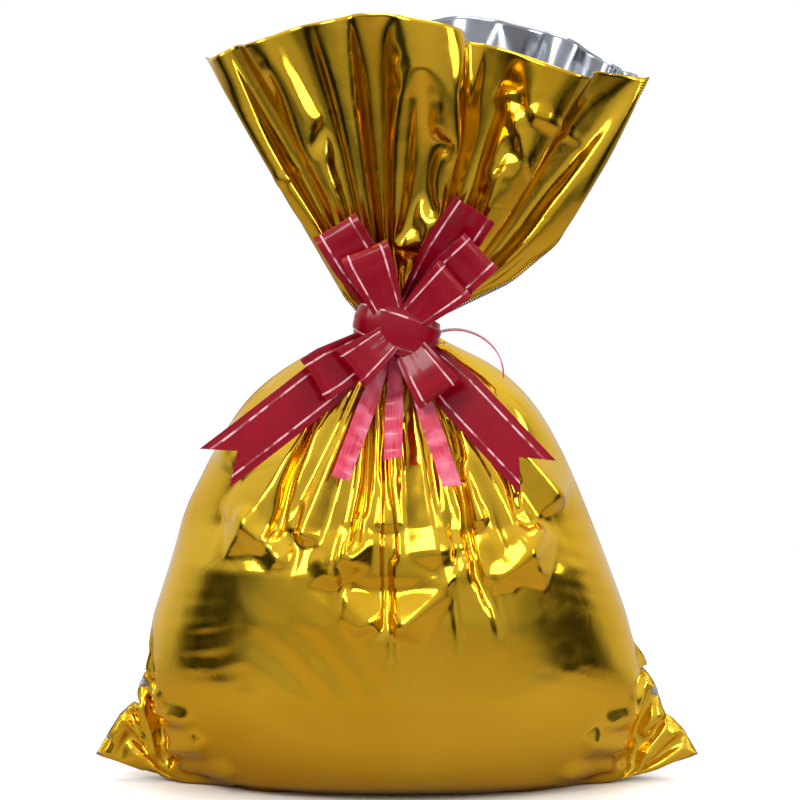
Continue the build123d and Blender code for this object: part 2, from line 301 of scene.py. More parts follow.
def film_rest_width(v):
    """Width of a panel at each distance up the film. It is drawn in where the stuffing
    fills it, down to little more than half the girth there, and most of all at the tie,
    where the finest pleats are left out."""
    width, depth = row_sections(v)[3:]
    tied = FILM_WIDTH * (1 - 0.52 * np.exp(-(((v - FILM_NECK) / 0.050) ** 2)))
    half_girth = np.pi * np.sqrt((width**2 + depth**2) / 2)
    filled = np.maximum(1.012 * half_girth, 0.86 * tied)
    return np.minimum(np.minimum(tied, filled), 1.42 * half_girth + 0.012)


def pull(points, first, second, rest, strength, apart=False):
    """Moves two sets of points along the lines between them towards the rest length, or
    if apart is set, only where they are nearer than that."""
    gap = points[second] - points[first]
    length = np.sqrt((gap * gap).sum(-1)) + 1e-9
    long = 1 - rest / length
    if apart:
        long = np.minimum(0, long)
    move = gap * (0.5 * strength * long)[..., None]
    points[first] += move
    points[second] -= move


def surface_normals(points):
    """Unit normals of each panel's grid, turned outwards."""
    across = np.gradient(points, axis=2)
    up = np.gradient(points, axis=1)
    normal = np.cross(across, up)
    normal /= np.sqrt((normal**2).sum(-1, keepdims=True)) + 1e-12
    normal[1] *= -1
    return normal


def solve_film(points, u, v, rounds, push, stiff):
    """Quasi-static cloth solve of the pouch.

    Neighbours on the grid keep their distance along, across and on both diagonals, and
    every second neighbour resists folding. The side and bottom edges of the two panels
    are one weld. The stuffing pushes the film out, the floor stops it, and the tie holds
    its row inside the neck's radius."""
    rows, columns = len(v), len(u)
    row_width = film_rest_width(v) / (columns - 1)
    step_v = np.diff(v)
    across = np.broadcast_to(row_width[:, None], (rows, columns - 1))
    # the front of the collar is cut lower on the right
    share = np.linspace(0, 1, columns)
    low_cut = LOW_CUT * np.clip((share - 0.56) / 0.05, 0, 1) * np.clip((1 - share) / 0.16, 0, 1)
    low_cut = low_cut * np.clip((v[:-1, None] - FILM_NECK - 0.03) / 0.03, 0, 1)
    # and the whole collar leans to the right, so its right weld is the longer
    slanted = np.interp(share, *COLLAR_LEAN) - 1
    # the belly takes up a little less film at its sides than in its middle
    taken = np.interp(np.abs(2 * share - 1), *BELLY_TAKE_UP)
    slanted = np.where(v[:-1, None] > FILM_NECK, 1 + slanted, taken)
    up = step_v[None, :, None] * np.stack([slanted - low_cut, slanted])
    middle_width = (row_width[:-1] + row_width[1:]) / 2
    slant = np.hypot(middle_width[None, :, None], (up[..., :-1] + up[..., 1:]) / 2)
    panel, every = slice(None), slice(None)
    tied = np.abs(v - FILM_NECK) < TIE_BAND
    past = points.copy()
    in_belly = (v < FILM_NECK - TIE_BAND)[None, :, None]
    for _ in range(rounds):
        moved = points - past
        past = points.copy()
        points += KEPT_MOTION * moved
        points += (push * in_belly)[..., None] * surface_normals(points)
        points[..., 2] -= WEIGHT_FALL
        for k in (0, 1):
            pull(points, (panel, every, slice(k, columns - 1, 2)),
                 (panel, every, slice(k + 1, columns, 2)), across[:, k::2], 1.0)
            pull(points, (panel, slice(k, rows - 1, 2)),
                 (panel, slice(k + 1, rows, 2)), up[:, k::2], 1.0)
        for k in (0, 1):
            low, high = slice(k, rows - 1, 2), slice(k + 1, rows, 2)
            left, right = slice(0, columns - 1), slice(1, columns)
            for n in (0, 1):
                a, b = slice(n, columns - 1, 2), slice(n + 1, columns, 2)
                pull(points, (panel, low, a), (panel, high, b), slant[:, k::2, n::2], SHEAR)
                pull(points, (panel, low, b), (panel, high, a), slant[:, k::2, n::2], SHEAR)
        for k in (0, 1, 2, 3):
            a, b = slice(k, columns - 2, 4), slice(k + 2, columns, 4)
            pull(points, (panel, every, a), (panel, every, b),
                 FOLD_LIMIT * across[:, k:columns - 2:4], stiff, apart=True)
            a, b = slice(k, rows - 2, 4), slice(k + 2, rows, 4)
            pull(points, (panel, a), (panel, b),
                 FOLD_LIMIT * up[:, k:rows - 2:4], stiff, apart=True)
        # welds: the two panels share their side and bottom edges
        for edge in ((every, 0), (every, -1), (0, every)):
            shared = (points[(0, *edge)] + points[(1, *edge)]) / 2
            points[(0, *edge)] = shared
            points[(1, *edge)] = shared
        confine(points, v, tied)
    return points


def confine(points, v, tied):
    """Keeps the film between the stuffing and its outline, on the floor and in the tie."""
    below = v < FILM_NECK - TIE_BAND
    part = points[:, below]
    part[..., 2] = np.maximum(part[..., 2], FLOOR_GAP)
    height = np.clip(part[..., 2], 0, BELLY[-1, 0])
    shift, width, depth = section_at(BELLY, height)
    side = part[..., 0] - shift
    reach = np.hypot(side / width, part[..., 1] / depth) + 1e-9
    # the film may sink a little into the stuffing, and most at the shoulder
    loose = 0.006 + 0.020 * np.exp(-(((height - 0.250) / 0.045) ** 2))
    inner = 1 - loose / ((width + depth) / 2)
    corner = height < CORNER_TOP
    grow = np.where((reach < inner) & (height > 0.012) & (height < 0.285), inner / reach, 1.0)
    shrink = np.where((reach > 1) & ~corner, 1 / reach, 1.0)
    scale = 1 + 0.5 * (grow * shrink - 1)
    part[..., 0] = shift + side * scale
    part[..., 1] *= scale
    # flattened corners: a wedge that thins towards each tip
    span = np.interp(height, CORNER_OUTLINE[0], CORNER_OUTLINE[1])
    part[..., 0] = np.where(corner, np.clip(part[..., 0], -span, span), part[..., 0])
    away = np.abs(part[..., 0])
    round_side = depth * np.sqrt(np.clip(1 - (side / width) ** 2, 0, 1))
    thinning = np.clip((0.092 - height) / 0.040, 0, 1)
    wedge = 0.0012 + 0.20 * thinning * np.clip(HALF_SPAN - away, 0, 1)
    thick = np.maximum(round_side, wedge)
    part[..., 1] = np.where(corner, np.clip(part[..., 1], -thick, thick), part[..., 1])
    # underside: flat on the floor, and lifting towards the tips of the corners
    sole = (v[below] < 0.040)[None, :, None]
    lifted = np.interp(np.abs(part[..., 0]), *CORNER_SOLE)
    part[..., 2] = np.maximum(part[..., 2], lifted)
    part[..., 2] += 0.4 * sole * (away < 0.150) * (lifted - part[..., 2])
    points[:, below] = part
    # each panel keeps to its own side of the welds, and the collar stays open
    upper = v > FILM_NECK + 0.010
    share = np.linspace(0, 1, points.shape[2])
    rise = np.clip((v - FILM_NECK) / 0.15, 0, 1)
    least = (0.0012 + 0.009 * rise[:, None]) * np.sin(np.pi * share)[None, :] ** 0.7
    points[0, :, :, 1] = np.minimum(points[0, :, :, 1], -least)
    points[1, :, :, 1] = np.maximum(points[1, :, :, 1], least)
    # nothing folds back past its neighbour or past the welds
    ahead = np.maximum.accumulate(points[..., 0], axis=2)
    behind = np.minimum.accumulate(points[:, :, ::-1, 0], axis=2)[:, :, ::-1]
    points[..., 0] = (ahead + behind) / 2
    for column, edge in zip((0, -1), COLLAR_EDGES):
        weld = points[:, upper, column]
        weld[..., 0] += 0.5 * (np.interp(weld[..., 2], *edge) - weld[..., 0])
        points[:, upper, column] = weld
    side = points[:, upper, :, 0]
    points[:, upper, :, 0] = np.clip(side, side[..., :1], side[..., -1:])
    points[:, 0, 0] = (-HALF_SPAN, 0, TIP_HEIGHT)
    points[:, 0, -1] = (HALF_SPAN, 0, TIP_HEIGHT)
    points[:, -1, 0], points[:, -1, -1] = COLLAR_TIPS
    # and the film stays behind the bow
    outer = points[:, upper]
    level = np.clip(outer[..., 2], COLLAR[0, 0], COLLAR[-1, 0])
    c_shift, c_width, c_depth = section_at(COLLAR, level)
    over = np.hypot((outer[..., 0] - c_shift) / c_width, outer[..., 1] / c_depth) + 1e-9
    limit = 1.0 + 0.25 * np.clip((level - 0.36) / 0.08, 0, 1)
    outer[..., 1] *= np.minimum(1, limit / over)
    points[:, upper] = outer
    ring = points[:, tied]
    radius = np.hypot(ring[..., 0], ring[..., 1]) + 1e-9
    squeeze = np.minimum(1, NECK_FILM / radius)
    ring[..., 0] *= squeeze
    ring[..., 1] *= squeeze
    ring[..., 2] += 0.5 * (TIE_HEIGHT - ring[..., 2])
    points[:, tied] = ring


def finer(points, factor):
    """The same pouch on a grid factor times as fine, by cubic steps between points."""
    for axis in (1, 2):
        count = points.shape[axis]
        knots = np.arange(count, dtype=float)
        where = np.linspace(0, count - 1, (count - 1) * factor + 1)
        lead = np.moveaxis(points, axis, 0)
        shape = lead.shape[1:]
        lead = smooth_curve(lead.reshape(count, -1), knots, where)
        points = np.moveaxis(lead.reshape(len(where), *shape), 0, axis)
    return np.ascontiguousarray(points)


# Folds of the front panel, as ridges seen from the front: x and z of both ends of the
# ridge line and its height at each, in millimetres, then how steeply its sides and its
# ends fall away.
SHOULDER_RIDGES = (
    (-24, 292, -114, 224, 5, 10, 0.45, 0.6),
    (-22, 288, -98, 178, 5, 11, 0.42, 0.45),
    (-16, 284, -60, 176, 5, 10, 0.62, 1.3),
    (-10, 284, -36, 160, 5, 10, 0.50, 0.55),
    (-1, 284, -6, 182, 4, 7, 0.70, 1.4),
    (7, 284, 26, 166, 5, 10, 0.48, 0.55),
    (14, 284, 54, 184, 5, 9, 0.65, 1.3),
    (20, 287, 84, 160, 5, 11, 0.42, 0.45),
    (23, 290, 106, 196, 5, 11, 0.55, 1.0),
    (24, 294, 124, 228, 5, 10, 0.50, 0.9),
)
# Second row of facets, hanging below the first.
APRON_RIDGES = (
    (-52, 160, -18, 122, 3, 6, 0.42, 0.6),
    (46, 160, 4, 120, 3, 7, 0.42, 0.6),
    (-100, 186, -74, 160, 4, 5, 0.45, 0.6),
    (92, 176, 66, 146, 4, 5, 0.45, 0.6),
)
# Creases that run out into the two flattened corners.
CORNER_RIDGES = (
    (-196, 18, -158, 62, 2, 5, 0.40, 0.7),
    (-180, 13, -128, 34, 1, 6, 0.45, 0.7),
    (-168, 52, -136, 50, 3, 4, 0.40, 0.5),
    (-160, 10, -110, 16, 1, 4, 0.40, 0.5),
    (196, 18, 158, 60, 2, 5, 0.40, 0.7),
    (180, 13, 126, 36, 1, 6, 0.45, 0.7),
    (168, 50, 136, 46, 3, 4, 0.40, 0.5),
    (160, 10, 112, 14, 1, 4, 0.40, 0.5),
)
# Creases across the collar.
COLLAR_RIDGES = (
    (-108, 380, -66, 402, 4, 2, 0.40, 0.5),
    (70, 452, 86, 398, 4, 1, 0.45, 0.5),
    (88, 440, 120, 420, 3, 1, 0.35, 0.5),
)


def ridge_height(x, z, ridges):
    """Height of a group of ridges over the points (x, z): the greatest of the roofs.

    Each roof stands on its ridge line. Its height changes evenly along the line, falls
    evenly to either side, and falls at its own rate beyond the two ends."""
    height = np.zeros_like(x)
    for *line, side_fall, end_fall in ridges:
        ax, az, bx, bz, first, last = (value / 1000 for value in line)
        length = math.hypot(bx - ax, bz - az)
        tx, tz = (bx - ax) / length, (bz - az) / length
        along = (x - ax) * tx + (z - az) * tz
        across = np.abs((z - az) * tx - (x - ax) * tz)
        beyond = np.maximum(0, np.maximum(-along, along - length))
        crest = first + (last - first) * np.clip(along / length, 0, 1)
        height = np.maximum(height, crest - side_fall * across - end_fall * beyond)
    return height


def neighbour_mean(grid):
    """Mean of each grid point's four neighbours, with the edges repeated."""
    padded = np.pad(grid, ((0, 0), (1, 1), (1, 1), (0, 0)), mode="edge")
    return (padded[:, :-2, 1:-1] + padded[:, 2:, 1:-1]
            + padded[:, 1:-1, :-2] + padded[:, 1:-1, 2:]) / 4


def even_normals(points):
    """Outward normals of the pouch as if its small folds were not there."""
    normal = surface_normals(points)
    for _ in range(SMOOTHING):
        normal = neighbour_mean(normal)
    return normal / (np.sqrt((normal**2).sum(-1, keepdims=True)) + 1e-12)


def open_overhangs(points):
    """Relaxes the spots where the film doubles back so far that its inside shows.

    There each point moves to the mean of its neighbours, until it faces outwards."""
    normal = even_normals(points)
    for _ in range(SMOOTHING):
        facing = (surface_normals(points) * normal).sum(-1, keepdims=True)
        turned = neighbour_mean(neighbour_mean(np.clip(0.30 - facing, 0, 0.5) * 2))
        moved = points + turned * (neighbour_mean(points) - points)
        points[:, 1:-1, 1:-1] = moved[:, 1:-1, 1:-1]
    return points


def add_folds(points):
    """Presses the folds into both panels, along their evened-out outward normals."""
    normal = even_normals(points)
    x, z = points[..., 0].copy(), points[..., 2].copy()
    fold = np.zeros_like(x)
    sunk = RIDGE_SINK * np.clip((z - 0.150) / 0.03, 0, 1) * np.clip((0.300 - z) / 0.03, 0, 1)
    fold[0] = ridge_height(x[0], z[0], SHOULDER_RIDGES) - sunk[0]
    fold[0] += ridge_height(x[0], z[0], APRON_RIDGES)
    # the facet in the middle, a shallow four-sided hollow
    hollow = 1 - np.abs(x[0] + 0.012) / 0.046 - np.abs(z[0] - 0.142) / 0.032
    fold[0] -= 0.011 * np.clip(hollow, 0, 1)
    fold[1] = ridge_height(-0.94 * x[1], z[1] + 0.006, SHOULDER_RIDGES) - sunk[1]
    fold[1] += ridge_height(-1.1 * x[1], z[1] - 0.008, APRON_RIDGES)
    fold += ridge_height(x, z, CORNER_RIDGES)
    fold[0] += ridge_height(x[0], z[0], COLLAR_RIDGES)
    fold[1] += ridge_height(-x[1], z[1] + 0.012, COLLAR_RIDGES)
    # fine level ripples down both sides, where the film is drawn round the stuffing
    side = np.clip((np.abs(x) - 0.088) / 0.03, 0, 1) * np.clip((0.155 - np.abs(x)) / 0.02, 0, 1)
    band = np.exp(-(((z - 0.130) / 0.055) ** 2))
    drift = 0.004 * np.sin(47 * x + 3 * z) + 0.003 * np.sin(90 * z)
    uneven = 0.5 + 0.5 * np.sin(61 * z + 38 * x)
    fold += 0.0003 * side * band * uneven * np.sin(2 * np.pi * (z + 0.3 * np.abs(x) + drift) / 0.0115)
    # long soft undulations over the whole belly
    belly = np.clip((0.20 - z) / 0.05, 0, 1) * np.clip(z / 0.05, 0, 1)
    fold += 0.0009 * belly * np.sin(34 * x + 22 * z) * np.sin(41 * z - 12 * x + 0.6)
    # a few slanting wrinkles left of the middle
    patch = np.exp(-(((x + 0.058) / 0.040) ** 2) - ((z - 0.092) / 0.034) ** 2)
    fold[0] += 0.0006 * patch[0] * np.sin(230 * (x[0] + 0.85 * z[0]) + 4 * np.sin(30 * x[0]))
    # the folds fade out towards both welds
    share = np.linspace(0, 1, x.shape[2])
    inside = np.minimum(1, 8 * np.minimum(share, 1 - share))
    moved = points + (fold * inside)[..., None] * normal
    moved[..., 2] = np.maximum(moved[..., 2], FLOOR_GAP)
    return moved


def film_pouch():
    """The solved pouch: first on a coarse grid, for its large folds, then on a fine one."""
    rng = np.random.default_rng(SEED)
    coarse = 3 * FILM_STEP
    u = np.linspace(0, FILM_WIDTH, round(FILM_WIDTH / coarse) + 1)
    v = np.linspace(0, FILM_LENGTH, round(FILM_LENGTH / coarse) + 1)
    points = start_shape(u, v)
    points += rng.normal(0, COARSE_JITTER, points.shape)
    points = solve_film(points, u, v, *COARSE_SOLVE)
    points = finer(points, 3)
    u = np.linspace(0, FILM_WIDTH, points.shape[2])
    v = np.linspace(0, FILM_LENGTH, points.shape[1])
    points += rng.normal(0, FINE_JITTER, points.shape)
    rounds, push, stiff = FINE_SOLVE
    points = solve_film(points, u, v, rounds, push, stiff)
    return add_folds(open_overhangs(finer(points, 2)))


def film_objects(points):
    """One object for each panel, gold outside and silver inside, bent at the tie."""
    rows, columns = points.shape[1:3]
    faces = grid_faces(rows, columns)
    grid = np.stack(
        np.meshgrid(np.linspace(0, 1, columns), np.linspace(0, 1, rows)), axis=-1
    ).reshape(-1, 2)
    pieces = []
    for panel, name in enumerate(("film_front", "film_back")):
        order = faces if panel == 0 else faces[:, ::-1]
        film = new_object(name, points[panel].reshape(-1, 3), order.tolist(), grid)
        film.data.materials.append(MATERIALS["gold"])
        film.data.materials.append(MATERIALS["silver"])
        wall = film.modifiers.new("wall", "SOLIDIFY")
        wall.thickness = FILM_WALL
        wall.offset = -1
        wall.material_offset = 1
        wall.material_offset_rim = 1
        apply_modifiers(film)
        pieces.append(film)
    return pieces


def apply_modifiers(piece):
    """Makes the modifiers' result the piece's own mesh."""
    view = bpy.context.evaluated_depsgraph_get()
    mesh = bpy.data.meshes.new_from_object(piece.evaluated_get(view))
    piece.modifiers.clear()
    piece.data = mesh


# ---- Materials ----
def new_material(name, **values):
    """A material with a Principled shader whose own sockets hold the given values."""
    material = bpy.data.materials.new(name)
    material.use_nodes = True
    shader = material.node_tree.nodes["Principled BSDF"]
    for socket, value in values.items():
        shader.inputs[socket.replace("_", " ").title().replace("Ior", "IOR")].default_value = value
    return material, material.node_tree, shader


def group_tree(name, inputs, outputs):
    """An empty shader node group with the given sockets, and its two end nodes."""
    group = bpy.data.node_groups.new(name, "ShaderNodeTree")
    for label, kind, value in inputs:
        socket = group.interface.new_socket(label, in_out="INPUT", socket_type=kind)
        if value is not None:
            socket.default_value = value
    for label in outputs:
        group.interface.new_socket(label, in_out="OUTPUT", socket_type="NodeSocketFloat")
    return group, group.nodes.new("NodeGroupInput"), group.nodes.new("NodeGroupOutput")


def feed(tree, node, inputs):
    """Links a node's inputs to sockets, or sets them to plain values."""
    for name, value in inputs.items():
        if isinstance(value, bpy.types.NodeSocket):
            tree.links.new(value, node.inputs[name])
        else:
            node.inputs[name].default_value = value
    return node


def add_node(tree, kind, inputs, **settings):
    """A shader node with the given settings and inputs."""
    node = tree.nodes.new("ShaderNode" + kind)
    for name, value in settings.items():
        setattr(node, name, value)
    return feed(tree, node, inputs)


def coordinates(tree, kind):
    """A Texture Coordinate socket, and its parts X, Y and Z."""
    place = add_node(tree, "TexCoord", {}).outputs[kind]
    return place, add_node(tree, "SeparateXYZ", {"Vector": place}).outputs


def math_node(tree, operation, first, second=0.5):
    """A Math node on sockets or numbers, and its result."""
    node = add_node(tree, "Math", {0: first, 1: second}, operation=operation)
    return node.outputs["Value"]


def noise_node(tree, vector, scale, detail=2.0):
    """A Noise node at a fixed scale over a vector socket, and its value."""
    noise = add_node(tree, "TexNoise", {"Vector": vector, "Scale": scale, "Detail": detail})
    return noise.outputs["Fac"]


def ranged(tree, value, low, high, start=0.0, end=1.0, shape="LINEAR"):
    """value as a share of low to high, put on the range start to end."""
    node = add_node(tree, "MapRange", {"Value": value, "From Min": low, "From Max": high,
                                       "To Min": start, "To Max": end}, interpolation_type=shape)
    return node.outputs["Result"]


def mixed(tree, share, first, second, blend="MIX"):
    """Colour between first and second by share; each may be a socket."""
    # on a Mix node, input 0 is the share, 6 and 7 are the colours and output 2 the result
    node = add_node(tree, "Mix", {0: share, 6: first, 7: second}, data_type="RGBA",
                    blend_type=blend)
    return node.outputs[2]


def film_crinkle_group():
    """Crinkles of thin film: broad soft dents, sharp fine creases and handling haze."""
    group, entry, leave = group_tree(
        "film_crinkle",
        [("Vector", "NodeSocketVector", None), ("Dents", "NodeSocketFloat", 1.0),
         ("Creases", "NodeSocketFloat", 1.0)], ("Height", "Haze", "Tone"))
    place = entry.outputs["Vector"]
    dents = noise_node(group, place, 38, 1.0)
    cells = add_node(group, "TexVoronoi", {"Vector": place, "Scale": 46},
                     feature="DISTANCE_TO_EDGE")
    crease = math_node(group, "MINIMUM", cells.outputs["Distance"], 0.10)
    patch = ranged(group, noise_node(group, place, 14, 1.0), 0.50, 0.66)
    crease = math_node(group, "MULTIPLY", crease, patch)
    low = math_node(group, "MULTIPLY", dents, entry.outputs["Dents"])
    high = math_node(group, "MULTIPLY", crease, entry.outputs["Creases"])
    feed(group, leave, {
        "Height": math_node(group, "ADD", low, high),
        "Haze": ranged(group, noise_node(group, place, 90, 3.0), 0.35, 0.7),
        "Tone": ranged(group, noise_node(group, place, 9, 2.0), 0.3, 0.7)})
    return group


def weld_group():
    """Ribbed heat weld down both sides of the flat film."""
    group, entry, leave = group_tree(
        "side_weld", [("UV", "NodeSocketVector", None)], ("Weld", "Ribs"))
    split = add_node(group, "SeparateXYZ", {"Vector": entry.outputs["UV"]})
    inner = math_node(group, "ABSOLUTE", math_node(group, "SUBTRACT", split.outputs["X"], 0.5))
    weld = ranged(group, inner, 0.486, 0.490)
    rib = math_node(group, "SINE", math_node(group, "MULTIPLY", split.outputs["Y"], 2400))
    feed(group, leave, {"Weld": weld, "Ribs": math_node(group, "MULTIPLY", rib, weld)})
    return group


def streak_group():
    """Fine streaks along a drawn plastic ribbon, from its own UV map."""
    group, entry, leave = group_tree(
        "drawn_streaks", [("UV", "NodeSocketVector", None), ("Count", "NodeSocketFloat", 60.0)],
        ("Streak", "Cloud"))
    split = add_node(group, "SeparateXYZ", {"Vector": entry.outputs["UV"]})
    across = math_node(group, "MULTIPLY", split.outputs["X"], entry.outputs["Count"])
    join = add_node(group, "CombineXYZ", {"X": across, "Y": split.outputs["Y"]})
    streak = noise_node(group, join.outputs["Vector"], 1.0, 3.0)
    cloud = noise_node(group, entry.outputs["UV"], 2.3, 2.0)
    feed(group, leave, {"Streak": ranged(group, streak, 0.3, 0.7),
                        "Cloud": ranged(group, cloud, 0.35, 0.65)})
    return group


def bumped(tree, shader, height, distance):
    """A bump of the given height, at most distance in metres, on the shader's normal."""
    bump = add_node(tree, "Bump", {"Strength": 1.0, "Distance": distance, "Height": height})
    feed(tree, shader, {"Normal": bump.outputs["Normal"]})


def film_material(name, deep, light, rough, groups, **values):
    """Metallised film: crinkled, hazed where it was handled, welded at its sides."""
    material, tree, shader = new_material(name, base_color=light, metallic=1.0,
                                          roughness=rough[0], **values)
    place = add_node(tree, "TexCoord", {})
    crinkle = add_node(tree, "Group", {"Vector": place.outputs["Object"], "Dents": 0.55,
                                       "Creases": 0.45}, node_tree=groups["crinkle"])
    weld = add_node(tree, "Group", {"UV": place.outputs["UV"]}, node_tree=groups["weld"])
    rib = math_node(tree, "MULTIPLY", weld.outputs["Ribs"], 0.12)
    bumped(tree, shader, math_node(tree, "ADD", crinkle.outputs["Height"], rib), 0.0011)
    haze = ranged(tree, crinkle.outputs["Haze"], 0, 1, *rough)
    haze = math_node(tree, "ADD", haze, math_node(tree, "MULTIPLY", weld.outputs["Weld"], 0.12))
    feed(tree, shader, {"Roughness": haze,
                        "Base Color": mixed(tree, crinkle.outputs["Tone"], deep, light)})
    return material


def ribbon_material(groups):
    """Glossy crimson ribbon. Two pale pink stripes along its raised creases are painted highlights,
    broken into dashes by noise.
    """
    material, tree, shader = new_material(
        "crimson_ribbon", base_color=(0.35, 0.0, 0.02, 1), roughness=0.25,
        specular_ior_level=0.25, coat_weight=0.15, coat_roughness=0.08)
    place, part = coordinates(tree, "UV")
    streak = add_node(tree, "Group", {"UV": place}, node_tree=groups["streak"])
    inner = math_node(tree, "ABSOLUTE", math_node(tree, "SUBTRACT", part["X"], 0.5))
    off = math_node(tree, "ABSOLUTE", math_node(tree, "SUBTRACT", inner, STRIPE_PLACE / 2))
    # painted highlight: a pale line along each raised crease, where the crease would catch the light
    painted_crease_highlight = ranged(tree, off, 0.011, 0.026, 1, 0)
    # noise breaks the painted highlight into dashes
    highlight_dash_noise = noise_node(tree, place, 3.1, 1.0)
    painted_crease_highlight = math_node(tree, "MULTIPLY", painted_crease_highlight, ranged(tree, highlight_dash_noise, 0.45, 0.55, 0.10, 1.0))
    body = mixed(tree, streak.outputs["Streak"], (0.25, 0.0, 0.009, 1), (0.31, 0.0, 0.015, 1))
    body = mixed(tree, math_node(tree, "MULTIPLY", streak.outputs["Cloud"], 0.4), body,
                 (0.19, 0.0, 0.006, 1))
    # the painted crease highlight is mixed over the body colour in pale pink
    feed(tree, shader, {"Base Color": mixed(tree, painted_crease_highlight, body, (0.86, 0.50, 0.55, 1)),
                        "Roughness": ranged(tree, streak.outputs["Streak"], 0, 1, 0.19, 0.24)})
    bumped(tree, shader, streak.outputs["Streak"], 0.000004)
    return material


def string_material(groups):
    """Thin pink-red pull string, with paler patches painted in as highlight bands."""
    material, tree, shader = new_material(
        "pull_string", base_color=(0.72, 0.06, 0.12, 1), roughness=0.28,
        specular_ior_level=0.4, coat_weight=0.2, coat_roughness=0.2)
    place = add_node(tree, "TexCoord", {})
    streak = add_node(tree, "Group", {"UV": place.outputs["UV"], "Count": 24},
                      node_tree=groups["streak"])
    body = mixed(tree, streak.outputs["Streak"], (0.58, 0.03, 0.075, 1), (0.80, 0.10, 0.17, 1))
    # painted highlight: paler pink patches stand in for bands of light on the string
    patch = ranged(tree, noise_node(tree, place.outputs["Object"], 75, 1.0), 0.48, 0.62, 0, 0.7)
    feed(tree, shader, {"Base Color": mixed(tree, patch, body, (0.86, 0.22, 0.32, 1)),
                        "Roughness": ranged(tree, streak.outputs["Streak"], 0, 1, 0.2, 0.36)})
    bumped(tree, shader, streak.outputs["Streak"], 0.000012)
    return material


def floor_material():
    """Pale floor that fades into the white ground away from the bag, and is darker where
    the film mirrors it."""
    pale = (0.94, 0.93, 0.92, 1)
    material, tree, shader = new_material("pale_floor", base_color=pale, roughness=0.7)
    place = add_node(tree, "TexCoord", {})
    away = add_node(tree, "VectorMath", {0: place.outputs["Object"]}, operation="LENGTH")
    fade = ranged(tree, away.outputs["Value"], 0.25, 0.95, 1, 0, "SMOOTHSTEP")
    glossy = add_node(tree, "LightPath", {}).outputs["Is Glossy Ray"]
    # painted dark reflection: glossy rays see the floor dark brown, so the film mirrors a dark floor
    feed(tree, shader, {"Alpha": fade,
                        "Base Color": mixed(tree, glossy, pale, (0.36, 0.30, 0.25, 1))})
    return material


def make_materials():
    """Every finish of the bag, and the floor's."""
    groups = {"crinkle": film_crinkle_group(), "weld": weld_group(), "streak": streak_group()}
    return {
        "gold": film_material("gold_film", (0.74, 0.42, 0.018, 1), (0.83, 0.53, 0.040, 1),
                              (0.09, 0.20), groups),
        "silver": film_material("silver_inside", (0.26, 0.275, 0.31, 1), (0.42, 0.44, 0.48, 1),
                                (0.16, 0.32), groups),
        "ribbon": ribbon_material(groups),
        "string": string_material(groups),
        "floor": floor_material(),
    }


MATERIALS = make_materials()


# ---- Ribbons ----

def ribbon_frame(angle, tilt):
    """Directions of a ribbon that leaves the bow's centre: out along it, forwards, and
    across it. angle turns it in the bow's plane and tilt leans it forwards, in degrees."""
    angle, tilt = math.radians(angle), math.radians(tilt)
    out = np.array([math.cos(angle), 0, math.sin(angle)])
    front = np.array([0.0, -1, 0])
    along = out * math.cos(tilt) + front * math.sin(tilt)
    normal = front * math.cos(tilt) - out * math.sin(tilt)
    return along, normal, np.cross(out, front)


